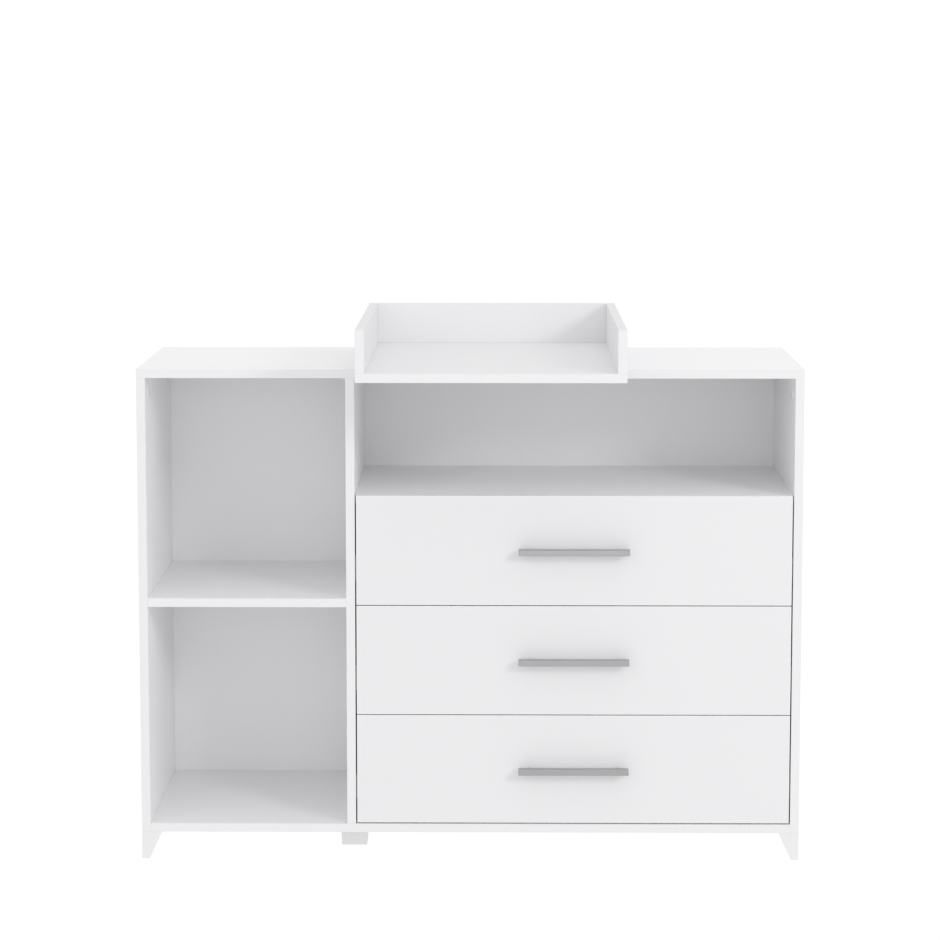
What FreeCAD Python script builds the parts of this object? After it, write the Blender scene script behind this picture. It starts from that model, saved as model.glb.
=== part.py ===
import FreeCAD, Part
import math
import os
import re
import Sketcher
from FreeCAD import Placement, Rotation, Vector

# Changing dresser: a laminated-board cabinet with two open bays on the left, an open niche
# over three drawers on the right, four corner legs, and a lift-off changing tray on top.
# Places are given in the cabinet's corner frame: x from its left side, y from its front
# face towards the back, z from the floor. The document's origin lies on the floor, midway
# along the width, and midway between the tray's front edge and the cabinet's back edge.

doc = FreeCAD.newDocument("ChangingTable")
sheet = doc.addObject("Spreadsheet::Sheet", "Sizes")
sizes = {
    # cabinet
    "cabinetWidth": 1200, "cabinetDepth": 430, "cabinetHeight": 900, "leftBayWidth": 360,
    "board": 16, "edgeRadius": 0.5,
    # back panels in their grooves
    "backThickness": 3, "backInset": 15, "grooveDepth": 5, "sheetClearance": 0.2,
    # corner legs and centre feet
    "legHeight": 50, "legTop": 37, "legTip": 14, "legCorner": 1, "flangeReach": 66,
    "flangeThickness": 3, "flangeSetback": 14, "flangeScrewNear": 26, "flangeScrewFar": 56,
    "footWidth": 50, "footTip": 47, "footSetback": 98, "footLug": 16, "footLugWidth": 24,
    # drawer fronts and the gaps round them
    "frontHeight": 199.5, "frontGap": 2, "lowestGap": 2.5, "frontSideGap": 2.5, "shelfSetback": 1,
    # drawer boxes
    "boxBoard": 12, "boxBackGap": 44, "boxHeight": 140, "boxLift": 14,
    "boxSheet": 3, "boxSheetRise": 10,
    # handles
    "handleLength": 200, "handleHeight": 10.5, "handleBar": 17, "handleReach": 28,
    "handleCentres": 160, "handleLeg": 7, "handleEdge": 1, "handleScrewGrip": 12,
    "handleScrewShank": 4, "handleScrewHead": 8, "handleScrewHeadHeight": 2.5,
    # ball-bearing runners
    "runnerThickness": 13, "runnerHeight": 45, "runnerRise": 50, "runnerSteel": 1.2,
    "runnerRace": 3.3, "runnerWebGap": 2, "runnerLipGap": 2.4,
    "runnerSetback": 1, "runnerHoleFront": 20, "runnerHoleBack": 75,
    "runnerScrewLength": 10, "runnerScrewShank": 4, "runnerScrewHead": 7,
    "runnerScrewHeadHeight": 1.2,
    # cam fittings and dowels in the carcass
    "camSetback": 60, "camReach": 34, "camDiameter": 15, "camPast": 4.5,
    "camBoltGrip": 11, "camBoltThread": 5, "camBoltBore": 8, "camBoltShank": 6.2,
    "camBoltTip": 7.2, "dowel": 8, "dowelOffset": 32, "dowelInFace": 11, "dowelInEdge": 20,
    # cam fittings in the drawers
    "boxCamReach": 24, "boxCamDiameter": 12, "boxCamPast": 3.5, "boxCamInset": 30,
    "boxBoltBore": 6.6, "boxBoltShank": 5, "boxBoltTip": 6.2,
    # confirmat screws in the bottom panel and the tray
    "confirmatLength": 50, "confirmatHead": 9.6, "confirmatHeadHeight": 3, "confirmatNeck": 7,
    "confirmatThread": 6, "confirmatInset": 50, "confirmatSocket": 4,
    # small screws: legs and drawer bottoms, and drawer sides to drawer backs
    "smallScrewLength": 14, "smallScrewShank": 3.5, "smallScrewHead": 7,
    "smallScrewHeadHeight": 1.6, "boxScrewLength": 40, "boxScrewInset": 30,
    # radial clearance round every fastener
    "fit": 0.1,
    # changing tray
    "trayWidth": 467, "trayDepth": 595, "trayOverhang": 240, "trayLeft": 405, "trayWall": 75,
    "padThickness": 1, "padDiameter": 30, "padInset": 45, "trayScrewInset": 60,
}
for row, (name, value) in enumerate(sizes.items(), start=1):
    sheet.set(f"A{row}", name)
    sheet.set(f"B{row}", str(value))
    sheet.setAlias(f"B{row}", name)
doc.recompute()

# Places that several pieces share, in the cabinet's corner frame
floorTop = "(legHeight + board)"
carcassTop = "(cabinetHeight - board)"
dividerLeft = "(board + leftBayWidth)"
dividerRight = "(2 * board + leftBayWidth)"
rightInner = "(cabinetWidth - board)"
backFront = "(cabinetDepth - backInset - backThickness)"
shelfBottom = f"({floorTop} + ({carcassTop} - {floorTop} - board) / 2)"
nicheFloor = f"({floorTop} + lowestGap + 3 * frontHeight + 2 * frontGap)"
nicheFront = "(board + shelfSetback)"
camDepth, boxCamDepth = "(board / 2 + camPast)", "(boxBoard / 2 + boxCamPast)"
camRows = ("camSetback", f"({backFront} - camSetback)")
dowelRows = ("(camSetback + dowelOffset)", f"({backFront} - camSetback - dowelOffset)")
confirmatRows = ("confirmatInset", f"({backFront} / 2)", f"({backFront} - confirmatInset)")
grooveStart = f"({backFront} - sheetClearance)"
grooveWidth = "(backThickness + 2 * sheetClearance)"
boxLeft = f"({dividerRight} + runnerThickness)"
boxRight = f"({rightInner} - runnerThickness)"
boxFront = "board"
boxLength = f"({backFront} - boxBackGap - board)"
boxEnd = f"({backFront} - boxBackGap)"
runnerLength = f"({boxLength} - 2 * runnerSetback)"
runnerHoles = ("runnerHoleFront", f"({runnerLength} - runnerHoleBack)")
runnerRows = [f"(board + runnerSetback + {hole})" for hole in runnerHoles]
trayFront = "(0 - trayOverhang)"
trayEnd = "(trayDepth - trayOverhang)"
trayBottom = "(cabinetHeight + padThickness)"
trayFloor = f"({trayBottom} + board)"
trayRight = "(trayLeft + trayWidth)"
frameShift = ("0 - cabinetWidth / 2", "(trayOverhang - cabinetDepth) / 2", "0")

# For each side of a board: its origin plane, the sign of an offset along that plane's
# normal, whether a pocket has to be reversed to cut inwards, and the two axes drawn on it
sides = {
    "bottom": ("XY_Plane", 1, True, (0, 1)),
    "top": ("XY_Plane", 1, False, (0, 1)),
    "front": ("XZ_Plane", -1, False, (0, 2)),
    "rear": ("XZ_Plane", -1, True, (0, 2)),
    "left": ("YZ_Plane", 1, True, (1, 2)),
    "right": ("YZ_Plane", 1, False, (1, 2)),
}
acrossAxis = {"XY_Plane": 2, "XZ_Plane": 1, "YZ_Plane": 0}
corners = {}
nodes = []


def cells(words):
    """An expression in plain words, with each size's name turned into its cell."""
    return re.sub(r"[A-Za-z]\w*", lambda word: f"Sizes.{word[0]}" if word[0] in sizes else word[0], words)


def number(words):
    return float(sheet.evalExpression(cells(words)))


def bind(item, prop, words):
    item.setExpression(prop, cells(words))


def newBody(label, corner):
    """An empty body whose own origin lies at a place in the cabinet's corner frame."""
    body = doc.addObject("PartDesign::Body", label)
    body.Label = label
    corners[body.Name] = corner
    for axis, place, shift in zip("xyz", corner, frameShift):
        bind(body, f"Placement.Base.{axis}", f"{place} + {shift}")
    return body


def newSketch(body, plane, offset="0"):
    sketch = body.newObject("Sketcher::SketchObject", "Sketch")
    origin = [item for item in body.Origin.OriginFeatures if item.Role == plane][0]
    sketch.AttachmentSupport = [(origin, "")]
    sketch.MapMode = "FlatFace"
    bind(sketch, "AttachmentOffset.Base.z", offset)
    return sketch


def fixPoint(sketch, shape, point, across, up):
    for kind, place in (("DistanceX", across), ("DistanceY", up)):
        index = sketch.addConstraint(Sketcher.Constraint(kind, -1, 1, shape, point, number(place)))
        bind(sketch, f"Constraints[{index}]", place)


def drawOutline(sketch, points):
    """A closed outline of straight lines through points, each place an expression."""
    spots = [Vector(number(across), number(up), 0) for across, up in points]
    lines = [Part.LineSegment(start, end) for start, end in zip(spots, spots[1:] + spots[:1])]
    shapes = sketch.addGeometry(lines, False)
    for index, shape in enumerate(shapes):
        following = shapes[(index + 1) % len(shapes)]
        sketch.addConstraint(Sketcher.Constraint("Coincident", shape, 2, following, 1))
        fixPoint(sketch, shape, 1, *points[index])


def drawCircle(sketch, across, up, diameter):
    centre = Vector(number(across), number(up), 0)
    circle = Part.Circle(centre, Vector(0, 0, 1), number(diameter) / 2)
    shape = sketch.addGeometry(circle, False)
    fixPoint(sketch, shape, 3, across, up)
    index = sketch.addConstraint(Sketcher.Constraint("Diameter", shape, number(diameter)))
    bind(sketch, f"Constraints[{index}]", diameter)


def rectangle(left, low, right, high):
    return ((left, low), (right, low), (right, high), (left, high))


def pad(body, sketch, length, backwards=False):
    feature = body.newObject("PartDesign::Pad", "Pad")
    feature.Profile = sketch
    feature.Reversed = backwards
    bind(feature, "Length", length)
    doc.recompute()
    return feature


def pocket(body, sketch, depth, backwards):
    """Cuts a sketch into a body, or through it, and makes sure that the cut meets the solid."""
    before = body.Shape.Volume
    feature = body.newObject("PartDesign::Pocket", "Pocket")
    feature.Profile = sketch
    feature.Reversed = backwards
    if depth == "through":
        feature.Type = "ThroughAll"
    else:
        bind(feature, "Length", depth)
    doc.recompute()
    if body.Shape.Volume > before - 0.1:
        raise RuntimeError(f"a pocket cuts nothing in {body.Label}")


def roundEdges(body, radius, wanted):
    solid = body.Tip
    names = [f"Edge{i}" for i, edge in enumerate(solid.Shape.Edges, start=1) if wanted(edge)]
    feature = body.newObject("PartDesign::Fillet", "Fillet")
    feature.Base = (solid, names)
    bind(feature, "Radius", radius)
    doc.recompute()


def board(label, corner, size):
    """A flat board with eased edges: corner and size are its places along x, y and z."""
    body = newBody(label, corner)
    sketch = newSketch(body, "XY_Plane")
    drawOutline(sketch, rectangle("0", "0", size[0], size[1]))
    pad(body, sketch, size[2])
    thinnest = min(number(side) for side in size)
    if thinnest > 4 * number("edgeRadius"):
        roundEdges(body, "edgeRadius", lambda edge: True)
    body.addProperty("App::PropertyStringList", "Reach")
    body.Reach = list(size)
    nodes.append(body)
    return body


def faceSketch(body, side):
    """A sketch on one side of a board, and the two axes that are drawn on it."""
    plane, sign, backwards, axes = sides[side]
    across = acrossAxis[plane]
    level = body.Reach[across] if side in ("top", "rear", "right") else "0"
    return newSketch(body, plane, f"{sign} * ({level})"), axes, backwards


def inBoard(body, axis, place):
    return f"{place} - {corners[body.Name][axis]}"


def drill(body, side, diameter, depth, spots):
    """Drills one side of a board. Each spot is its place along the side's two axes."""
    sketch, axes, backwards = faceSketch(body, side)
    for spot in spots:
        drawCircle(sketch, *(inBoard(body, axis, place) for axis, place in zip(axes, spot)), diameter)
    pocket(body, sketch, depth, backwards)


def groove(body, side, low, high, depth):
    """Cuts a straight groove into one side of a board, from a low to a high corner."""
    sketch, axes, backwards = faceSketch(body, side)
    first, second = ([inBoard(body, axis, place) for axis, place in zip(axes, spot)] for spot in (low, high))
    drawOutline(sketch, rectangle(*first, *second))
    pocket(body, sketch, depth, backwards)


def pairs(firsts, seconds):
    return [(first, second) for first in firsts for second in seconds]


# ---- Fasteners, each turned about its own +Z axis, with its seat at z = 0 ----


def turned(profile):
    """A solid of revolution from (radius, height) points that start and end on the axis."""
    points = [Vector(radius, 0, height) for radius, height in profile]
    face = Part.Face(Part.makePolygon(points + points[:1]))
    return face.revolve(Vector(0, 0, 0), Vector(0, 0, 1), 360)


def socket(width, depth, top):
    """A hexagonal key socket that opens downwards through the plane z = top."""
    corner = width / math.sqrt(3)
    angles = [math.radians(60 * step) for step in range(7)]
    ring = [Vector(corner * math.cos(angle), corner * math.sin(angle), top) for angle in angles]
    return Part.Face(Part.makePolygon(ring)).extrude(Vector(0, 0, depth))


def headedScrew(head, headHeight, shank, length):
    """A screw whose countersunk head lies below z = 0 and whose shank points up."""
    radius, tip = number(shank) / 2, number(length)
    top = -number(headHeight)
    profile = [(0, top), (number(head) / 2, top), (radius, 0), (radius, tip - radius), (0, tip)]
    slot = Part.makeBox(number(head), radius / 2, radius / 2, Vector(-number(head) / 2, -radius / 4, top))
    return turned(profile).cut(slot)


def confirmatScrew():
    """Its head's outer face is just under z = 0, and it points along +Z through one board."""
    sunk = number("fit")
    headEnd = sunk + number("confirmatHeadHeight")
    neckEnd, tip = number("board"), number("confirmatLength")
    head, neck, thread = (number(name) / 2 for name in ("confirmatHead", "confirmatNeck", "confirmatThread"))
    profile = [(0, sunk), (head, sunk), (head, headEnd), (neck, headEnd), (neck, neckEnd)]
    profile += [(thread, neckEnd), (thread, tip - thread), (0, tip)]
    return turned(profile).cut(socket(number("confirmatSocket"), 2.5, sunk))


def camBolt(thread, grip, shank, tip, reach):
    """Its thread goes down from z = 0 into one board, and its head reaches into the cam."""
    inner, middle, outer = (number(size) / 2 - number("fit") for size in (thread, shank, tip))
    end = number(reach) + outer
    profile = [(0, -number(grip) + number("fit")), (inner, -number(grip) + number("fit")), (inner, 0)]
    profile += [(middle, 0), (middle, end - 2 * outer), (outer, end - 2 * outer), (outer, end), (0, end)]
    return turned(profile)


def camLock(diameter, depth, bore, reach, boardThickness):
    """A cam in its round pocket: the bolt comes along +Z, and the pocket opens along +X."""
    radius, height = number(diameter) / 2 - number("fit"), number(depth) - 2 * number("fit")
    mouth = number(boardThickness) / 2 - number("fit")
    centre = number(reach)
    body = Part.makeCylinder(radius, height, Vector(mouth - height, 0, centre), Vector(1, 0, 0))
    throat = Part.makeCylinder(number(bore) / 2, 2 * radius, Vector(0, 0, centre - radius), Vector(0, 0, 1))
    slot = Part.makeBox(1.2, 1.6, 1.4 * radius, Vector(mouth - 1.2, -0.8, centre - 0.7 * radius))
    return body.cut(throat).cut(slot)


def along(place, direction, opening=(1, 0, 0)):
    """The placement that turns a fastener's +Z to a direction and its +X to its opening."""
    forward, side = Vector(*direction), Vector(*opening)
    base = Vector(*(number(axis) for axis in place))
    return Placement(base, Rotation(side, forward.cross(side), forward, "ZXY"))


def fastenerGroup(label, shape, placements):
    """One node of identical, separate fasteners."""
    return mixedGroup(label, [(shape, placement) for placement in placements])


def mixedGroup(label, items):
    feature = doc.addObject("Part::Feature", label)
    feature.Label = label
    copies = []
    for shape, placement in items:
        copy = shape.copy()
        copy.Placement = placement
        copies.append(copy)
    feature.Shape = Part.makeCompound(copies)
    feature.Placement = Placement(Vector(*(number(shift) for shift in frameShift)), Rotation())
    nodes.append(feature)


def joined(label, members):
    """One node of two or more separate bodies."""
    compound = doc.addObject("Part::Compound", label)
    compound.Label = label
    compound.Links = members
    nodes.append(compound)


# ---- Carcass boards ----

topPanel = board("top_panel", ("0", "0", carcassTop), ("cabinetWidth", "cabinetDepth", "board"))
sideSize = ("board", "cabinetDepth", f"{carcassTop} - legHeight")
leftSide = board("left_side_panel", ("0", "0", "legHeight"), sideSize)
rightSide = board("right_side_panel", (rightInner, "0", "legHeight"), sideSize)
divider = board(
    "centre_divider", (dividerLeft, "0", floorTop), ("board", "cabinetDepth", f"{carcassTop} - {floorTop}")
)
bottomPanel = board(
    "bottom_panel", ("board", "0", "legHeight"), ("cabinetWidth - 2 * board", "cabinetDepth", "board")
)
shelf = board(
    "left_bay_shelf", ("board", "0", shelfBottom),
    ("leftBayWidth", f"{backFront} - sheetClearance", "board"),
)
nicheShelf = board(
    "niche_shelf", (dividerRight, nicheFront, f"({nicheFloor} - board)"),
    (f"{rightInner} - {dividerRight}", f"{backFront} - {nicheFront} - sheetClearance", "board"),
)

# The back panels stand in grooves in every board that frames their bay
tongue = "(grooveDepth - sheetClearance)"
for label, start, end in (
    ("left_back_panel", "board", dividerLeft), ("right_back_panel", dividerRight, rightInner)
):
    board(
        label, (f"({start} - {tongue})", backFront, f"({floorTop} - {tongue})"),
        (f"{end} - {start} + 2 * {tongue}", "backThickness", f"{carcassTop} - {floorTop} + 2 * {tongue}"),
    )
    for panel, side in ((topPanel, "bottom"), (bottomPanel, "top")):
        groove(
            panel, side, (f"({start} - grooveDepth)", grooveStart),
            (f"({end} + grooveDepth)", f"({grooveStart} + {grooveWidth})"), "grooveDepth",
        )
for panel, side in ((leftSide, "right"), (divider, "left"), (divider, "right"), (rightSide, "left")):
    groove(
        panel, side, (grooveStart, floorTop if panel is divider else "legHeight"),
        (f"({grooveStart} + {grooveWidth})", carcassTop), "grooveDepth",
    )

# ---- Cam and dowel joints ----
# Each joint: the board whose face takes the bolt and its side, the board whose end meets
# it and that end's side, the side that its cam opens on, and the joint's places

bolts, cams, dowels = [], [], []
middleOf = {"left_side_panel": "(board / 2)", "centre_divider": f"({dividerLeft} + board / 2)",
            "right_side_panel": "(cabinetWidth - board / 2)"}
outwards = {"left": (-1, 0, 0), "right": (1, 0, 0), "bottom": (0, 0, -1), "top": (0, 0, 1)}


def camJoint(faceBoard, faceSide, endBoard, endSide, camSide, spotOf, camSpotOf, depthOf):
    """Bolts and dowels in one board's face, and their bores and cams in the other's end."""
    camSpots = [spotOf(row) for row in camRows]
    dowelSpots = [spotOf(row) for row in dowelRows]
    drill(faceBoard, faceSide, "camBoltThread", "camBoltGrip", camSpots)
    drill(endBoard, endSide, "camBoltBore", "camReach", camSpots)
    drill(faceBoard, faceSide, "dowel", "dowelInFace", dowelSpots)
    drill(endBoard, endSide, "dowel", "dowelInEdge", dowelSpots)
    drill(endBoard, camSide, "camDiameter", camDepth, [camSpotOf(row) for row in camRows])
    inward = outwards[faceSide]
    opening = outwards[camSide]
    for row in camRows:
        bolts.append(along(depthOf(row), inward))
        cams.append(along(depthOf(row), inward, opening))
    for row in dowelRows:
        dowels.append(along(depthOf(row), inward))


for panel, camSide in ((leftSide, "right"), (divider, "left"), (rightSide, "left")):
    middle = middleOf[panel.Label]
    camJoint(
        topPanel, "bottom", panel, "top", camSide, lambda row: (middle, row),
        lambda row: (row, f"({carcassTop} - camReach)"), lambda row: (middle, row, carcassTop),
    )
for panel, bottom, left, right in (
    (shelf, shelfBottom, (leftSide, "right", "board"), (divider, "left", dividerLeft)),
    (
        nicheShelf, f"({nicheFloor} - board)", (divider, "right", dividerRight),
        (rightSide, "left", rightInner),
    ),
):
    level = f"({bottom} + board / 2)"
    for (upright, face, start), end, sign in ((left, "left", "+"), (right, "right", "-")):
        camJoint(
            upright, face, panel, end, "bottom", lambda row: (row, level),
            lambda row: (f"({start} {sign} camReach)", row), lambda row: (start, row, level),
        )

fastenerGroup(
    "cam_bolts", camBolt("camBoltThread", "camBoltGrip", "camBoltShank", "camBoltTip", "camReach"), bolts
)
fastenerGroup("cam_locks", camLock("camDiameter", camDepth, "camBoltBore", "camReach", "board"), cams)
dowelPin = Part.makeCylinder(
    number("dowel / 2 - fit"), number("dowelInFace + dowelInEdge - 4 * fit"),
    Vector(0, 0, number("2 * fit - dowelInFace")),
)
fastenerGroup("dowels", dowelPin, dowels)

# ---- Confirmat joints of the bottom panel ----

confirmats = []
headBore, neckBore = "(confirmatHead + 2 * fit)", "(confirmatNeck + 2 * fit)"
threadBore = "(confirmatThread + 2 * fit)"
headSink = "(confirmatHeadHeight + 2 * fit)"
threadDepth = "(confirmatLength - board + fit)"


def confirmatJoint(outer, outerSide, inner, innerSide, spots, innerSpots):
    """Stepped bores through the outer board and pilot bores in the inner board's end."""
    drill(outer, outerSide, neckBore, "through", spots)
    drill(outer, outerSide, headBore, headSink, spots)
    drill(inner, innerSide, threadBore, threadDepth, innerSpots)


panelLevel = "(legHeight + board / 2)"
for panel, side, end, outerFace, direction in (
    (leftSide, "left", "left", "0", (1, 0, 0)), (rightSide, "right", "right", "cabinetWidth", (-1, 0, 0))
):
    spots = [(row, panelLevel) for row in confirmatRows]
    confirmatJoint(panel, side, bottomPanel, end, spots, spots)
    confirmats += [along((outerFace, row, panelLevel), direction, (0, 0, 1)) for row in confirmatRows]
spots = [(middleOf["centre_divider"], row) for row in confirmatRows]
confirmatJoint(bottomPanel, "bottom", divider, "bottom", spots, spots)
confirmats += [along((*spot, "legHeight"), (0, 0, 1)) for spot in spots]
fastenerGroup("confirmat_screws", confirmatScrew(), confirmats)

# ---- Corner legs and centre feet ----

smallScrew = headedScrew("smallScrewHead", "smallScrewHeadHeight", "smallScrewShank", "smallScrewLength")
screwBore = "(smallScrewShank + 2 * fit)"
pilotDepth = "(smallScrewLength - flangeThickness + fit)"


def taper(body, tip, top):
    """A loft from a rectangle on the floor up to a rectangle under the bottom panel."""
    low, high = newSketch(body, "XY_Plane"), newSketch(body, "XY_Plane", "legHeight")
    drawOutline(low, tip)
    drawOutline(high, top)
    loft = body.newObject("PartDesign::AdditiveLoft", "Loft")
    loft.Profile = low
    loft.Sections = [high]
    doc.recompute()


def flange(body, outline, holes):
    """A thin plate under the bottom panel with a hole for each screw."""
    plate = newSketch(body, "XY_Plane", "legHeight - flangeThickness")
    drawOutline(plate, outline)
    pad(body, plate, "flangeThickness")
    bores = newSketch(body, "XY_Plane", "legHeight - flangeThickness")
    for across, up in holes:
        drawCircle(bores, across, up, screwBore)
    pocket(body, bores, "through", True)


def cornerLeg(label, corner, signX, signY):
    body = newBody(label, (*corner, "0"))
    x, y = f"{signX} * ", f"{signY} * "
    square = [rectangle("0", "0", f"{x}{width}", f"{y}{width}") for width in ("legTip", "legTop")]
    taper(body, *square)
    holes = [("flangeScrewNear", "flangeScrewFar"), ("flangeScrewFar", "flangeScrewNear"),
             ("flangeScrewFar", "flangeScrewFar")]
    holes = [(x + across, y + up) for across, up in holes]
    outline = rectangle(
        f"{x}(board + sheetClearance)", f"{y}flangeSetback", f"{x}flangeReach", f"{y}flangeReach"
    )
    flange(body, outline, holes)
    roundEdges(body, "legCorner", lambda edge: all(
        math.hypot(vertex.Point.x, vertex.Point.y) < 0.001 for vertex in edge.Vertexes
    ))
    nodes.append(body)
    return [(f"({corner[0]} + {across})", f"({corner[1]} + {up})") for across, up in holes]


def centreFoot(label, start):
    middle, half = middleOf["centre_divider"], "footLugWidth / 2"
    body = newBody(label, (middle, f"({start} + footWidth / 2)", "0"))
    taper(body, *(
        rectangle(f"0 - {width} / 2", f"0 - {width} / 2", f"{width} / 2", f"{width} / 2")
        for width in ("footTip", "footWidth")
    ))
    reach = "(footWidth / 2 + footLug)"
    holes = [("0", f"{sign}(footWidth / 2 + footLug / 2)") for sign in ("0 - ", "")]
    flange(body, rectangle(f"0 - {half}", f"0 - {reach}", half, reach), holes)
    nodes.append(body)
    return [(middle, f"({start} + footWidth / 2 + {up})") for across, up in holes]


screwSpots = []
for label, corner, signX, signY in (
    ("front_left_leg", ("0", "0"), 1, 1), ("front_right_leg", ("cabinetWidth", "0"), -1, 1),
    ("rear_left_leg", ("0", "cabinetDepth"), 1, -1),
    ("rear_right_leg", ("cabinetWidth", "cabinetDepth"), -1, -1),
):
    screwSpots += cornerLeg(label, corner, signX, signY)
screwSpots += centreFoot("front_centre_foot", "footSetback")
screwSpots += centreFoot("rear_centre_foot", "(cabinetDepth - footSetback - footWidth)")
drill(bottomPanel, "bottom", screwBore, pilotDepth, screwSpots)
flangeBottom = "legHeight - flangeThickness"
fastenerGroup("leg_screws", smallScrew, [along((*spot, flangeBottom), (0, 0, 1)) for spot in screwSpots])

# ---- Runners ----
# Seen from the front, each runner member is a channel: the cabinet's and the middle one
# open towards the drawer, and the drawer's own opens towards the cabinet

outerHalf = "(runnerHeight / 2)"
middleHalf = f"({outerHalf} - runnerSteel - runnerRace)"
innerHalf = f"({middleHalf} - runnerSteel - runnerRace)"
middleWeb = "(runnerSteel + runnerWebGap)"
lipEnd = "(runnerThickness - runnerLipGap)"
innerLip = f"({middleWeb} + runnerSteel + 1)"
runnerBore = "(runnerScrewShank + 2 * fit)"
runnerPilot = "(runnerScrewLength - runnerSteel + fit)"
runnerScrew = headedScrew("runnerScrewHead", "runnerScrewHeadHeight", "runnerScrewShank", "runnerScrewLength")
memberShapes = {
    "cabinet": ("0", lipEnd, outerHalf), "middle": (middleWeb, lipEnd, middleHalf),
    "inner": ("runnerThickness", innerLip, innerHalf),
}


def runnerMember(kind, label, wall, level, sign):
    """One channel beside a wall; sign is 1 where the drawer lies towards +X from it."""
    web, lip, half = memberShapes[kind]
    steel = "runnerSteel" if kind != "inner" else "(0 - runnerSteel)"
    body = newBody(label, (wall, "(board + runnerSetback)", level))
    section = [
        (web, f"0 - {half}"), (lip, f"0 - {half}"), (lip, f"runnerSteel - {half}"),
        (f"({web} + {steel})", f"runnerSteel - {half}"), (f"({web} + {steel})", f"{half} - runnerSteel"),
        (lip, f"{half} - runnerSteel"), (lip, half), (web, half),
    ]
    sketch = newSketch(body, "XZ_Plane")
    drawOutline(sketch, [(f"{sign} * {across}", up) for across, up in section])
    pad(body, sketch, runnerLength, True)
    if kind != "middle":
        bores = newSketch(body, "YZ_Plane", f"{sign} * {web}")
        for row in runnerHoles:
            drawCircle(bores, row, "0", runnerBore)
        towardsDrawer = (sign == 1) == (kind == "cabinet")
        pocket(body, bores, "through", towardsDrawer)
    return body


# ---- Drawers ----

handleScrew = headedScrew("handleScrewHead", "handleScrewHeadHeight", "handleScrewShank",
                          "board + handleScrewGrip")
boxScrew = headedScrew("smallScrewHead", "smallScrewHeadHeight", "smallScrewShank", "boxScrewLength")
boxBolt = camBolt("camBoltThread", "camBoltGrip", "boxBoltShank", "boxBoltTip", "boxCamReach")
boxCam = camLock("boxCamDiameter", boxCamDepth, "boxBoltBore", "boxCamReach", "boxBoard")
handleX = f"(({dividerRight} + {rightInner}) / 2)"
cabinetScrews = []


def handle(label, level):
    """A bar that stands off the front on two slim round legs, cast in one piece."""
    body = newBody(label, (handleX, "0", level))
    end = "(handleLength / 2)"
    outline = newSketch(body, "XY_Plane", "0 - handleHeight / 2")
    drawOutline(outline, rectangle(f"0 - {end}", "0 - handleReach", end, "handleBar - handleReach"))
    pad(body, outline, "handleHeight")
    front, tip = -number("handleReach"), number(end)
    roundEdges(body, "handleEdge", lambda edge: (
        all(abs(vertex.Point.y - front) < 0.001 for vertex in edge.Vertexes)
        or all(abs(abs(vertex.Point.x) - tip) < 0.001 for vertex in edge.Vertexes)
    ))
    spots = [(f"{sign}handleCentres / 2", "0") for sign in ("0 - ", "")]
    legs = newSketch(body, "XZ_Plane")
    for spot in spots:
        drawCircle(legs, *spot, "handleLeg")
    pad(body, legs, "handleReach - handleBar")
    bores = newSketch(body, "XZ_Plane")
    for spot in spots:
        drawCircle(bores, *spot, "handleScrewShank + 2 * fit")
    pocket(body, bores, "handleScrewGrip + fit", True)
    nodes.append(body)


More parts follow.
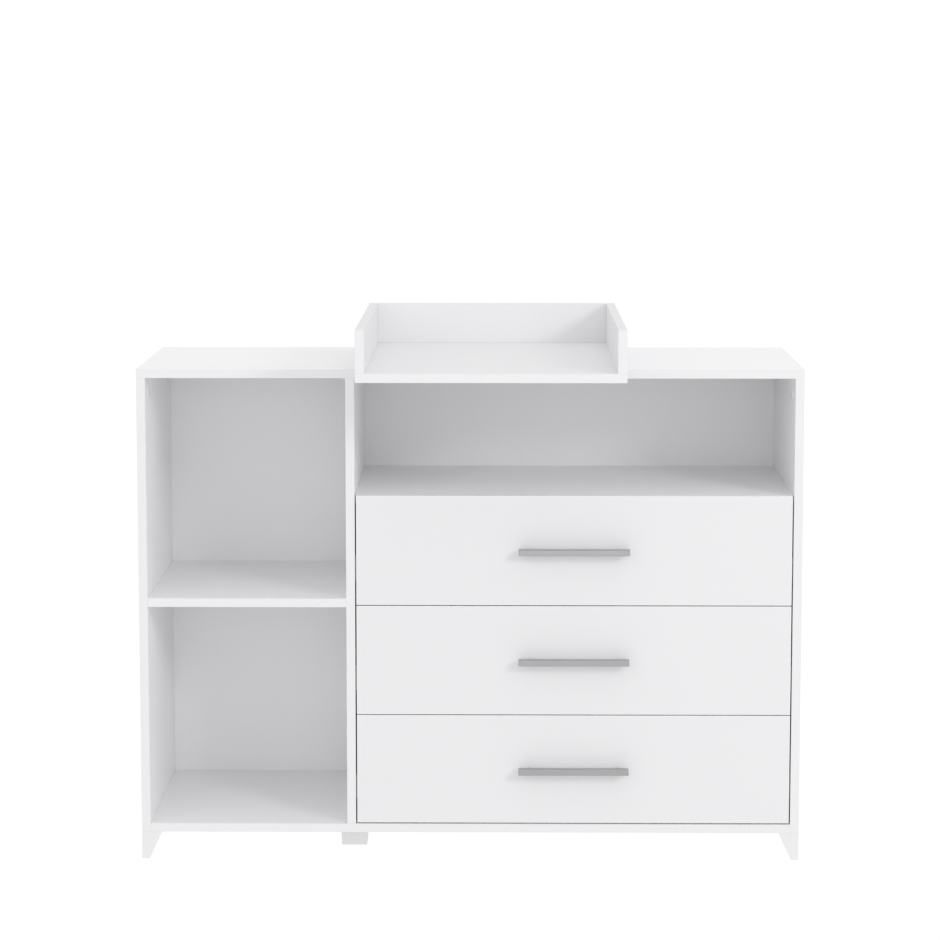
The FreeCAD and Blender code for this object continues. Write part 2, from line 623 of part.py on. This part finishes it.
def drawer(name, index):
    low = f"({floorTop} + lowestGap + {index} * (frontHeight + frontGap))"
    boxLow, level = f"({low} + boxLift)", f"({low} + frontHeight / 2)"
    front = board(
        f"{name}_drawer_front", (f"({dividerRight} + frontSideGap)", "0", low),
        (f"{rightInner} - {dividerRight} - 2 * frontSideGap", "board", "frontHeight"),
    )
    sideSize = ("boxBoard", boxLength, "boxHeight")
    left = board(f"{name}_drawer_left_side", (boxLeft, boxFront, boxLow), sideSize)
    right = board(f"{name}_drawer_right_side", (f"({boxRight} - boxBoard)", boxFront, boxLow), sideSize)
    innerLeft, innerRight = f"({boxLeft} + boxBoard)", f"({boxRight} - boxBoard)"
    sheetLow = f"({boxLow} + boxSheetRise)"
    sheetTop = f"({sheetLow} + boxSheet + sheetClearance)"
    rear = board(
        f"{name}_drawer_back", (innerLeft, f"({boxEnd} - boxBoard)", sheetTop),
        (f"{innerRight} - {innerLeft}", "boxBoard", f"{boxLow} + boxHeight - {sheetTop}"),
    )
    bottom = board(
        f"{name}_drawer_bottom", (f"({innerLeft} - {tongue})", f"({boxFront} - {tongue})", sheetLow),
        (f"{innerRight} - {innerLeft} + 2 * {tongue}", f"{boxLength} + {tongue}", "boxSheet"),
    )
    grooveLow, grooveHigh = f"({sheetLow} - sheetClearance)", sheetTop
    groove(left, "right", (boxFront, grooveLow), (boxEnd, grooveHigh), "grooveDepth")
    groove(right, "left", (boxFront, grooveLow), (boxEnd, grooveHigh), "grooveDepth")
    groove(
        front, "rear", (f"({innerLeft} - grooveDepth)", grooveLow),
        (f"({innerRight} + grooveDepth)", grooveHigh), "grooveDepth",
    )

    fittings = []
    camLevels = (f"({boxLow} + boxCamInset)", f"({boxLow} + boxHeight - boxCamInset)")
    screwLevels = (f"({boxLow} + boxScrewInset)", f"({boxLow} + boxHeight - boxScrewInset)")
    screwRow = f"({boxEnd} - boxBoard / 2)"
    for upright, inside, outside, outer, middle, opening in (
        (left, "right", "left", boxLeft, f"({boxLeft} + boxBoard / 2)", (1, 0, 0)),
        (right, "left", "right", boxRight, f"({boxRight} - boxBoard / 2)", (-1, 0, 0)),
    ):
        drill(front, "rear", "camBoltThread", "camBoltGrip", pairs([middle], camLevels))
        drill(upright, "front", "boxBoltBore", "boxCamReach", pairs([middle], camLevels))
        drill(upright, inside, "boxCamDiameter", boxCamDepth,
              pairs([f"({boxFront} + boxCamReach)"], camLevels))
        for camLevel in camLevels:
            seat = (middle, boxFront, camLevel)
            fittings += [(boxBolt, along(seat, (0, 1, 0))), (boxCam, along(seat, (0, 1, 0), opening))]
        drill(upright, outside, screwBore, "through", pairs([screwRow], screwLevels))
        drill(upright, outside, "(smallScrewHead + 2 * fit)", "(smallScrewHeadHeight + fit)",
              pairs([screwRow], screwLevels))
        drill(rear, outside, screwBore, "boxScrewLength - boxBoard + smallScrewHeadHeight",
              pairs([screwRow], screwLevels))
        seatX = f"({outer} {'+' if opening[0] > 0 else '-'} smallScrewHeadHeight)"
        fittings += [(boxScrew, along((seatX, screwRow, screwLevel), opening, (0, 0, 1)))
                     for screwLevel in screwLevels]
        runnerLevel = f"({boxLow} + runnerRise)"
        drill(upright, outside, runnerBore, runnerPilot, pairs(runnerRows, [runnerLevel]))
        seatX = f"({outer} {'-' if opening[0] > 0 else '+'} runnerSteel)"
        fittings += [(runnerScrew, along((seatX, row, runnerLevel), opening, (0, 0, 1)))
                     for row in runnerRows]

    sheetScrews = pairs(
        [f"({innerLeft} + boxScrewInset)", handleX, f"({innerRight} - boxScrewInset)"], [screwRow]
    )
    drill(bottom, "bottom", screwBore, "through", sheetScrews)
    drill(rear, "bottom", screwBore, "smallScrewLength - boxSheet + fit", sheetScrews)
    fittings += [(smallScrew, along((*spot, sheetLow), (0, 0, 1))) for spot in sheetScrews]

    handle(f"{name}_drawer_handle", level)
    grips = [(f"({handleX} {sign} handleCentres / 2)", level) for sign in "-+"]
    drill(front, "rear", "handleScrewShank + 2 * fit", "through", grips)
    fastenerGroup(f"{name}_drawer_handle_screws", handleScrew,
                  [along((across, boxFront, up), (0, -1, 0)) for across, up in grips])
    mixedGroup(f"{name}_drawer_fittings", fittings)

    runnerLevel = f"({boxLow} + runnerRise)"
    for kind in memberShapes:
        joined(f"{name}_drawer_{kind}_runners", [
            runnerMember(kind, f"{name}_{kind}_runner_{side}", wall, runnerLevel, sign)
            for side, wall, sign in (("left", dividerRight, 1), ("right", rightInner, -1))
        ])
    for upright, side, wall, sign, direction in (
        (divider, "right", dividerRight, "+", (-1, 0, 0)), (rightSide, "left", rightInner, "-", (1, 0, 0))
    ):
        drill(upright, side, runnerBore, runnerPilot, pairs(runnerRows, [runnerLevel]))
        cabinetScrews.extend(along((f"({wall} {sign} runnerSteel)", row, runnerLevel), direction, (0, 0, 1))
                             for row in runnerRows)


for index, name in enumerate(("lower", "middle", "upper")):
    drawer(name, index)
fastenerGroup("runner_screws", runnerScrew, cabinetScrews)

# ---- Changing tray ----

trayBase = board("tray_base", ("trayLeft", trayFront, trayBottom), ("trayWidth", "trayDepth", "board"))
wallSize = ("board", "trayDepth", "trayWall")
trayLeftWall = board("tray_left_wall", ("trayLeft", trayFront, trayFloor), wallSize)
trayRightWall = board("tray_right_wall", (f"({trayRight} - board)", trayFront, trayFloor), wallSize)
trayBackWall = board(
    "tray_back_wall", ("(trayLeft + board)", f"({trayEnd} - board)", trayFloor),
    ("trayWidth - 2 * board", "board", "trayWall"),
)
wallRows = (f"({trayFront} + trayScrewInset)", f"(({trayFront} + {trayEnd}) / 2)",
            f"({trayEnd} - trayScrewInset)")
backColumns = ("(trayLeft + board + trayScrewInset)", f"({trayRight} - board - trayScrewInset)")
traySpots = []
for wall, spots in (
    (trayLeftWall, pairs(["(trayLeft + board / 2)"], wallRows)),
    (trayRightWall, pairs([f"({trayRight} - board / 2)"], wallRows)),
    (trayBackWall, pairs(backColumns, [f"({trayEnd} - board / 2)"])),
):
    confirmatJoint(trayBase, "bottom", wall, "bottom", spots, spots)
    traySpots += spots
fastenerGroup("tray_screws", confirmatScrew(), [along((*spot, trayBottom), (0, 0, 1)) for spot in traySpots])

padColumns = ("(trayLeft + padInset)", f"({trayRight} - padInset)")
pads = []
for across, up in pairs(padColumns, ("padInset", f"({trayEnd} - padInset)")):
    disc = doc.addObject("Part::Cylinder", "pad")
    bind(disc, "Radius", "padDiameter / 2")
    bind(disc, "Height", "padThickness")
    for axis, place, shift in zip("xyz", (across, up, "cabinetHeight"), frameShift):
        bind(disc, f"Placement.Base.{axis}", f"{place} + {shift}")
    pads.append(disc)
joined("tray_pads", pads)

# ---- Check and write ----

doc.recompute()
for item in doc.Objects:
    if "Invalid" in item.State or "Error" in item.State:
        raise RuntimeError(f"{item.Label} has failed: {item.State}")
os.makedirs("parts", exist_ok=True)
for node in nodes:
    if node.Shape.isNull() or not node.Shape.isValid():
        raise RuntimeError(f"{node.Label} has no valid shape")
for node in nodes:
    node.Shape.exportStep(f"parts/{node.Label}.step")
print(f"{len(nodes)} nodes written")
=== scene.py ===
import math

import bpy
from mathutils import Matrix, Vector


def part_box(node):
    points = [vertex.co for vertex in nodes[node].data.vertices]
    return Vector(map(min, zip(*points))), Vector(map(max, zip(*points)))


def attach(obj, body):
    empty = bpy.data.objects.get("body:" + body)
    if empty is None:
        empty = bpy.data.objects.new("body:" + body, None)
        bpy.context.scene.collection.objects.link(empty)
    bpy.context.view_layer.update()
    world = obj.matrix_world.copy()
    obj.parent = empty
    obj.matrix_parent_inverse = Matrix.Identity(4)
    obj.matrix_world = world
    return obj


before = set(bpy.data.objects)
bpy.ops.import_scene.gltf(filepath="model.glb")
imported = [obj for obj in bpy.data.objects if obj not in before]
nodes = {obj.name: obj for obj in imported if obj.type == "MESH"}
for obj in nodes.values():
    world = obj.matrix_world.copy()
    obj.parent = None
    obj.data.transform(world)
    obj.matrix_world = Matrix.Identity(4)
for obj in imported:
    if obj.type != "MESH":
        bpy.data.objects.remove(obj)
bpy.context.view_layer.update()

mm = 0.001
drawers = ("upper", "middle", "lower")


class Wire:
    # an output socket that can be used in sums: 1 - mask, mask * 0.3 + tone
    def __init__(self, finish, socket):
        self.finish = finish
        self.socket = socket

    def maths(self, operation, *values):
        return self.finish.node("Math", {"operation": operation}, dict(enumerate(values)))

    def __add__(self, other):
        return self.maths("ADD", self, other)

    def __radd__(self, other):
        return self.maths("ADD", other, self)

    def __sub__(self, other):
        return self.maths("SUBTRACT", self, other)

    def __rsub__(self, other):
        return self.maths("SUBTRACT", other, self)

    def __mul__(self, other):
        return self.maths("MULTIPLY", self, other)

    def __rmul__(self, other):
        return self.maths("MULTIPLY", other, self)

    def __lt__(self, other):
        return self.maths("LESS_THAN", self, other)

    def __abs__(self):
        return self.maths("ABSOLUTE", self)

    def smaller(self, other):
        return self.maths("MINIMUM", self, other)


class Finish:
    # one material and the nodes in it
    def __init__(self, name):
        self.material = bpy.data.materials.new(name)
        self.material.use_nodes = True
        self.tree = self.material.node_tree
        self.tree.nodes.clear()

    def node(self, kind, settings, values, output=0):
        made = self.tree.nodes.new("ShaderNode" + kind)
        for setting, value in settings.items():
            setattr(made, setting, value)
        for socket, value in values.items():
            if isinstance(value, Wire):
                self.tree.links.new(value.socket, made.inputs[socket])
            else:
                made.inputs[socket].default_value = value
        return Wire(self, made.outputs[output])

    def place(self):
        return self.node("TexCoord", {}, {}, "Object")

    def axes(self, place):
        return [self.node("SeparateXYZ", {}, {0: place}, axis) for axis in "XYZ"]

    def noise(self, place, scale, detail=2.0, roughness=0.5):
        values = {"Vector": place, "Scale": scale, "Detail": detail, "Roughness": roughness}
        return self.node("TexNoise", {}, values, "Fac")

    def stretch(self, place, scale):
        return self.node("Mapping", {}, {"Vector": place, "Scale": scale})

    def blend(self, factor, first, second):
        return self.node("Mix", {"data_type": "RGBA"}, {0: factor, 6: first, 7: second}, 2)

    def bump(self, height, distance, strength):
        return self.node("Bump", {}, {"Height": height, "Distance": distance, "Strength": strength})

    def show(self, shader):
        output = self.tree.nodes.new("ShaderNodeOutputMaterial")
        self.tree.links.new(shader.socket, output.inputs["Surface"])
        return self.material

    def surface(self, **values):
        names = {"color": "Base Color", "rough": "Roughness", "metal": "Metallic", "normal": "Normal"}
        sockets = {names[key]: value for key, value in values.items()}
        return self.show(self.node("BsdfPrincipled", {}, sockets))


def grey(level, tint=0.0):
    return (level, level, level + tint, 1.0)  # tint: a little more blue


def dim(color, share):
    return tuple(channel * share for channel in color[:3]) + (1.0,)


# one white laminate, given a different white per kind of part: painted light and shade, with the carcass
# white raised to brighten the bays and the front and tray whites lowered
laminate = {
    "carcass": grey(0.94, 0.011), "front": grey(0.795, 0.012),
    "tray": grey(0.82, 0.012), "box": grey(0.88, 0.010),
    # edge-band whites: painted shade on the carcass, tray and box edges, and a painted highlight on the
    # drawer-front edges
    "band": {"carcass": 0.855, "front": 1.2, "tray": 0.97, "box": 0.93},  # share of the face's white
    # outer: a lower white painted on a side panel's face that looks away from the bays, painted shade set
    # against the raised white that paints light into the bays
    "outer": grey(0.85, 0.014), "outerDepth": 0.4 * mm,  # the face that looks away from the bays
    "bandThickness": 1.0 * mm, "bandPolish": 0.08, "glueLine": 0.72, "lineWidth": 0.16 * mm,
    "cloudScale": 2.2, "cloudShade": 0.985,
    "grainScale": 1400.0, "grainDepth": 0.03 * mm, "grainStrength": 0.35,
    "rough": 0.46, "smudgeScale": 9.0, "smudge": 0.10,
}


def laminateFinish(name, node, banded, kind, outer=None, values=laminate):
    # melamine-faced board: a fine pearl texture, and edge bands with a hairline glue joint; the edge bands
    # and the outer faces also carry painted light and shade in their white
    finish = Finish(name)
    place = finish.place()
    axes = finish.axes(place)
    low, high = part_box(node)
    color = values[kind]

    def depthFrom(side):
        axis = "xyz".index(side[1])
        return high[axis] - axes[axis] if side[0] == "+" else axes[axis] - low[axis]

    depth = depthFrom(banded[0])
    for side in banded[1:]:
        depth = depth.smaller(depthFrom(side))
    grain = finish.noise(place, values["grainScale"])
    band = depth < values["bandThickness"]
    line = abs(depth - values["bandThickness"]) < values["lineWidth"] / 2
    cloud = finish.noise(place, values["cloudScale"], 3.0)
    tone = finish.blend(cloud, dim(color, values["cloudShade"]), color)
    if outer:
        # painted shade: the outer face of a side panel gets the lower outer white
        tone = finish.blend(depthFrom(outer) < values["outerDepth"], tone, values["outer"])
    # painted light and shade: the edge band takes its kind's darker or brighter share of the face's white
    tone = finish.blend(band, tone, dim(color, values["band"][kind]))
    tone = finish.blend(line, tone, dim(color, values["glueLine"]))
    smudge = (finish.noise(place, values["smudgeScale"], 4.0) - 0.5) * values["smudge"]
    rough = smudge - band * values["bandPolish"] + values["rough"]
    normal = finish.bump(grain, values["grainDepth"], values["grainStrength"])
    return finish.surface(color=tone, rough=rough, normal=normal)


hardboard = {
    "face": grey(0.93, 0.011), "deep": grey(0.92, 0.011), "cloudScale": 5.0,
    "fibreStretch": (300.0, 300.0, 90.0), "fibreScale": 3.0, "fibreDepth": 0.06 * mm, "fibreStrength": 0.4,
    "rough": 0.5, "roughSwing": 0.12,
}


def hardboardFinish(name, values=hardboard):
    # lacquered hardboard: a flat paint film over short random fibres
    finish = Finish(name)
    place = finish.place()
    fibres = finish.noise(finish.stretch(place, values["fibreStretch"]), values["fibreScale"], 4.0, 0.6)
    cloud = finish.noise(place, values["cloudScale"], 3.0)
    color = finish.blend(cloud, values["deep"], values["face"])
    normal = finish.bump(fibres, values["fibreDepth"], values["fibreStrength"])
    rough = values["rough"] + (fibres - 0.5) * values["roughSwing"]
    return finish.surface(color=color, rough=rough, normal=normal)


brushed = {
    "handle": (grey(0.46, 0.008), grey(0.40, 0.006), 0.36),  # light, dark, roughness
    "zinc": (grey(0.62, 0.02), grey(0.50, 0.02), 0.30),
    "runner": (grey(0.62, 0.02), grey(0.52, 0.02), 0.32),
    "ball": (grey(0.75), grey(0.68), 0.16),
    "cage": (grey(0.60, 0.02), grey(0.50, 0.02), 0.38),
    "alongScale": 12.0, "acrossScale": 1500.0, "lineShare": 0.6, "patchScale": 30.0,
    "lineDepth": 0.02 * mm, "lineStrength": 0.3, "roughSwing": 0.18,
}


def brushedFinish(name, metal, along, values=brushed):
    # satin metal, brushed in fine lines along one axis
    light, dark, rough = values[metal]
    finish = Finish(name)
    place = finish.place()
    scale = tuple(values["alongScale"] if axis == along else values["acrossScale"] for axis in "xyz")
    lines = finish.noise(finish.stretch(place, scale), 1.0, 3.0, 0.65)
    patches = finish.noise(place, values["patchScale"], 3.0)
    mixed = lines * values["lineShare"] + patches * (1 - values["lineShare"])
    roughness = rough + (lines - 0.5) * values["roughSwing"]
    normal = finish.bump(lines, values["lineDepth"], values["lineStrength"])
    return finish.surface(color=finish.blend(mixed, dark, light), rough=roughness, metal=1.0, normal=normal)


plastic = {
    "leg": (grey(0.81, 0.006), 0.45, 1100.0),  # colour, roughness, scale of the texture
    "pad": (grey(0.34), 0.75, 700.0),
    "cap": (grey(0.85, 0.008), 0.4, 1300.0),
    "cloudScale": 14.0, "cloudShade": 0.97,
    "grainDepth": 0.05 * mm, "grainStrength": 0.4, "roughSwing": 0.15,
}


def plasticFinish(name, kind, values=plastic):
    # moulded plastic with a fine spark-eroded texture
    color, rough, grain = values[kind]
    finish = Finish(name)
    place = finish.place()
    speckle = finish.noise(place, grain)
    tone = finish.blend(finish.noise(place, values["cloudScale"]), dim(color, values["cloudShade"]), color)
    normal = finish.bump(speckle, values["grainDepth"], values["grainStrength"])
    return finish.surface(color=tone, rough=rough + (speckle - 0.5) * values["roughSwing"], normal=normal)


beech = {
    "pore": (0.46, 0.31, 0.17, 1.0), "wood": (0.68, 0.50, 0.31, 1.0), "rough": 0.7,
    "poreStretch": (900.0, 900.0, 120.0), "poreDepth": 0.05 * mm, "poreStrength": 0.5,
}


def beechFinish(name, values=beech):
    # raw beech with short dark pores along the grain
    finish = Finish(name)
    pores = finish.noise(finish.stretch(finish.place(), values["poreStretch"]), 1.0, 3.0, 0.7)
    color = finish.blend(pores, values["pore"], values["wood"])
    normal = finish.bump(pores, values["poreDepth"], values["poreStrength"])
    return finish.surface(color=color, rough=values["rough"], normal=normal)


def paint(names, material):
    for name in names:
        data = nodes[name].data
        data.materials.clear()
        data.materials.append(material)


def ending(*words):
    return [name for name in nodes if name.endswith(words)]


# the edges of each board that carry a band, as the sign and axis they face
banding = {
    "top_panel": ("-x", "+x", "-y", "+y"), "left_side_panel": ("-y", "+y"),
    "right_side_panel": ("-y", "+y"), "centre_divider": ("-y",), "bottom_panel": ("-y",),
    "left_bay_shelf": ("-y",), "niche_shelf": ("-y",),
    "tray_base": ("-x", "+x", "-y", "+y"), "tray_left_wall": ("-y", "+y", "+z"),
    "tray_right_wall": ("-y", "+y", "+z"), "tray_back_wall": ("+z",),
}
# the side panels' faces that get the painted shade of the outer white
shadedOuterSides = {"left_side_panel": "-x", "right_side_panel": "+x"}
for drawer in drawers:
    banding[f"{drawer}_drawer_front"] = ("-x", "+x", "-z", "+z")
    for side in ("left_side", "right_side", "back"):
        banding[f"{drawer}_drawer_{side}"] = ("+z",)
for node, banded in banding.items():
    # the kind picks which painted brightness of the one laminate a board gets
    kind = "tray" if node.startswith("tray") else "carcass"
    if "_drawer_" in node:
        kind = "front" if node.endswith("front") else "box"
    paint([node], laminateFinish(f"laminate_{node}", node, banded, kind, shadedOuterSides.get(node)))

paint(ending("_back_panel", "_drawer_bottom"), hardboardFinish("white_hardboard"))
paint(ending("_drawer_handle"), brushedFinish("satin_aluminium", "handle", "x"))
paint(ending("_runners"), brushedFinish("rolled_zinc", "runner", "y"))
paint(ending("_screws", "_fittings", "cam_bolts", "cam_locks"), brushedFinish("bright_zinc", "zinc", "z"))
paint(ending("_leg", "_foot"), plasticFinish("white_moulding", "leg"))
paint(["tray_pads"], plasticFinish("grey_rubber", "pad"))
paint(["dowels"], beechFinish("raw_beech"))
print("finishes on", len(nodes), "frame nodes")

smoothAngle = math.radians(40)


def selectOnly(*pieces):
    bpy.ops.object.select_all(action="DESELECT")
    for piece in pieces:
        piece.select_set(True)
    bpy.context.view_layer.objects.active = pieces[0]


def settle():
    # a finished piece keeps its place in its mesh
    bpy.ops.object.transform_apply(location=True, rotation=True, scale=True)


def selectFaces(piece, wanted):
    # face select mode with only the wanted faces of the active piece selected
    bpy.ops.object.mode_set(mode="EDIT")
    bpy.ops.mesh.select_mode(type="FACE")
    bpy.ops.mesh.select_all(action="DESELECT")
    bpy.ops.object.mode_set(mode="OBJECT")
    for face in piece.data.polygons:
        face.select = wanted(face)
    bpy.ops.object.mode_set(mode="EDIT")


def copiesOf(model, name, spots, material, body):
    # copies of a model at each (place, outward direction), joined into one piece that rides on a body
    copies = []
    for place, outward in spots:
        copy = model.copy()
        copy.data = model.data.copy()
        bpy.context.scene.collection.objects.link(copy)
        copy.location = place
        if outward:
            copy.rotation_euler = Vector(outward).to_track_quat("Z", "Y").to_euler()
        copies.append(copy)
    selectOnly(*copies)
    bpy.ops.object.join()
    piece = bpy.context.object
    settle()
    piece.name = name
    piece.data.materials.clear()
    piece.data.materials.append(material)
    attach(piece, body)


cap = {
    "radius": 8.2 * mm, "thickness": 0.9 * mm, "sides": 40,
    "round": 0.35 * mm, "roundSteps": 3, "rim": 1.3 * mm, "dish": 0.25 * mm,
    "camSetback": 60 * mm, "camReach": 34 * mm,  # the cams' places from the board's ends
}


def capPiece(values=cap):
    # a thin press-in disc with a rounded rim and a slightly dished middle, facing +Z
    bpy.ops.object.select_all(action="DESELECT")
    bpy.ops.mesh.primitive_cylinder_add(vertices=values["sides"], radius=values["radius"],
                                        depth=values["thickness"])
    piece = bpy.context.object
    piece.location = (0, 0, values["thickness"] / 2)
    settle()

    def onTop(face):
        return face.normal.z > 0.9 and face.center.z > values["thickness"] * 0.9

    selectFaces(piece, onTop)
    bpy.ops.mesh.bevel(offset=values["round"], segments=values["roundSteps"], affect="EDGES")
    bpy.ops.object.mode_set(mode="OBJECT")
    selectFaces(piece, onTop)
    bpy.ops.mesh.inset(thickness=values["rim"])
    bpy.ops.transform.translate(value=(0, 0, -values["dish"]))
    bpy.ops.object.mode_set(mode="OBJECT")
    selectOnly(piece)
    bpy.ops.object.shade_smooth_by_angle(angle=smoothAngle)
    return piece


def capSpots(values=cap):
    # over each cam that opens into a bay, and under the two shelves
    sideLow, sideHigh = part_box("left_side_panel")
    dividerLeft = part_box("centre_divider")[0][0]
    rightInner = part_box("right_side_panel")[0][0]
    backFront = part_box("left_back_panel")[0][1]
    level = sideHigh[2] - values["camReach"]
    spots = []
    for row in (sideLow[1] + values["camSetback"], backFront - values["camSetback"]):
        spots.append(((sideHigh[0], row, level), (1, 0, 0)))
        spots.append(((dividerLeft, row, level), (-1, 0, 0)))
        spots.append(((rightInner, row, level), (-1, 0, 0)))
        for shelf in ("left_bay_shelf", "niche_shelf"):
            low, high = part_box(shelf)
            for across in (low[0] + values["camReach"], high[0] - values["camReach"]):
                spots.append(((across, row, low[2]), (0, 0, -1)))
    return spots


capModel = capPiece()
copiesOf(capModel, "cam_cover_caps", capSpots(), plasticFinish("cap_white", "cap"), "carcass")
bpy.data.objects.remove(capModel)
print("cover caps made")

# Ball cages in the runners. "outer" and "inner" are places from the middle member's web and its
# mid height: the outer race lies between the cabinet's member and the middle one, and the inner
# race between that and the drawer's.
cage = {
    "ball": 1.55 * mm, "ballSides": 14, "ballRings": 8, "pitch": 7.5 * mm, "count": 19,
    "width": 5.2 * mm, "thickness": 0.8 * mm, "edge": 0.3 * mm, "edgeSteps": 2, "margin": 6 * mm,
    "outer": (3.7 * mm, 19.65 * mm), "inner": (4.9 * mm, 15.15 * mm),
}
cageLength = cage["pitch"] * cage["count"]


def cageStrip(values=cage):
    # a flat strip with rounded edges, along +Y from the origin
    bpy.ops.object.select_all(action="DESELECT")
    bpy.ops.mesh.primitive_cube_add(size=1.0, location=(0, cageLength / 2, 0))
    strip = bpy.context.object
    strip.scale = (values["width"], cageLength, values["thickness"])
    settle()
    bpy.ops.object.mode_set(mode="EDIT")
    bpy.ops.mesh.select_all(action="SELECT")
    bpy.ops.mesh.bevel(offset=values["edge"], segments=values["edgeSteps"], affect="EDGES")
    bpy.ops.object.mode_set(mode="OBJECT")
    selectOnly(strip)
    bpy.ops.object.shade_smooth_by_angle(angle=smoothAngle)
    return strip


def ballRow(values=cage):
    # one row of balls, along +Y from the origin
    bpy.ops.object.select_all(action="DESELECT")
    bpy.ops.mesh.primitive_uv_sphere_add(segments=values["ballSides"], ring_count=values["ballRings"],
                                         radius=values["ball"])
    ball = bpy.context.object
    ball.location = (0, values["pitch"] / 2, 0)
    settle()
    bpy.ops.object.modifier_add(type="ARRAY")
    row = ball.modifiers[-1]
    row.count = values["count"]
    row.use_relative_offset = False
    row.use_constant_offset = True
    row.constant_offset_displace = (0, values["pitch"], 0)
    bpy.ops.object.modifier_apply(modifier=row.name)
    selectOnly(ball)
    bpy.ops.object.shade_smooth_by_angle(angle=smoothAngle)
    return ball


def cageSpots(drawer, values=cage):
    # outer cages at the back of the middle members, inner ones at their front, above and below
    low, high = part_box(f"{drawer}_drawer_middle_runners")
    level = (low[2] + high[2]) / 2
    back = high[1] - values["margin"] - cageLength
    front = low[1] + values["margin"]
    spots = []
    for (across, rise), start in ((values["outer"], back), (values["inner"], front)):
        for place in (low[0] + across, high[0] - across):
            spots += [((place, start, level - rise), None), ((place, start, level + rise), None)]
    return spots


strip = cageStrip()
balls = ballRow()
polished = brushedFinish("polished_balls", "ball", "y")
cageZinc = brushedFinish("cage_zinc", "cage", "y")
for drawer in drawers:
    body = f"{drawer}_middle_runners"
    copiesOf(strip, f"{drawer}_ball_cages", cageSpots(drawer), cageZinc, body)
    copiesOf(balls, f"{drawer}_balls", cageSpots(drawer), polished, body)
for model in (strip, balls):
    bpy.data.objects.remove(model)
print("ball cages made")

studio = {
    "floorSize": 60.0, "aim": (0.0, 0.0, 0.5), "white": 1.05, "skyFill": 0.86, "floorFill": 0.87,
    "keyEnergy": 101.0, "keySize": 1.5, "keyPlace": (4.4, -5.5, 3.5),
    "topEnergy": 10.0, "topSize": 3.0, "topPlace": (0.4, -0.4, 4.5),
    "lowEnergy": 22.0, "lowSize": 2.5, "lowPlace": (0.2, -6.5, 1.0),
    "sideEnergy": 18.0, "sideSize": 2.5, "sidePlace": (-4.0, -5.0, 2.6),
}


def whiteFloor(values=studio):
    # white to the eye, with a softer fill where it only lights the piece
    finish = Finish("studio_white")
    seen = finish.node("LightPath", {}, {}, "Is Camera Ray")
    strength = seen * (values["white"] - values["floorFill"]) + values["floorFill"]
    bpy.ops.object.select_all(action="DESELECT")
    bpy.ops.mesh.primitive_plane_add(size=values["floorSize"], location=(0, 0, 0))
    floor = bpy.context.object
    floor.name = "studio_floor"
    glow = finish.node("Emission", {}, {"Color": grey(1.0), "Strength": strength})
    floor.data.materials.append(finish.show(glow))


def whiteSky(values=studio):
    world = bpy.data.worlds.new("studio_sky")
    bpy.context.scene.world = world
    world.use_nodes = True
    tree = world.node_tree
    sky = tree.nodes["Background"]
    path = tree.nodes.new("ShaderNodeLightPath")
    strength = tree.nodes.new("ShaderNodeMapRange")
    strength.inputs["To Min"].default_value = values["skyFill"]
    strength.inputs["To Max"].default_value = values["white"]
    tree.links.new(path.outputs["Is Camera Ray"], strength.inputs["Value"])
    tree.links.new(strength.outputs["Result"], sky.inputs["Strength"])
    sky.inputs["Color"].default_value = grey(1.0)


def softbox(name, values=studio):
    lampData = bpy.data.lights.new(f"{name}_light", "AREA")
    lampData.energy = values[f"{name}Energy"]
    lampData.size = values[f"{name}Size"]
    lamp = bpy.data.objects.new(f"{name}_light", lampData)
    lamp.location = values[f"{name}Place"]
    lamp.rotation_euler = (Vector(values["aim"]) - lamp.location).to_track_quat("-Z", "Y").to_euler()
    bpy.context.scene.collection.objects.link(lamp)


camera = {
    "place": (0.0538, -5.3291, 1.4313), "pitch": 6.839, "yaw": 0.587,
    "lens": 112.38, "sensor": 36.0, "shift": -0.05, "reach": 200.0,
}


def aimCamera(values=camera):
    data = bpy.data.cameras.new("camera")
    data.lens = values["lens"]
    data.sensor_width = values["sensor"]
    data.shift_y = values["shift"]
    data.clip_end = values["reach"]
    viewer = bpy.data.objects.new("camera", data)
    viewer.location = values["place"]
    viewer.rotation_euler = (math.radians(90 - values["pitch"]), 0, math.radians(values["yaw"]))
    bpy.context.scene.collection.objects.link(viewer)
    bpy.context.scene.camera = viewer


whiteFloor()
whiteSky()
for name in ("key", "top", "low", "side"):
    softbox(name)
bpy.context.scene.view_settings.view_transform = "Standard"
bpy.context.scene.view_settings.look = "None"
aimCamera()
print("studio ready")
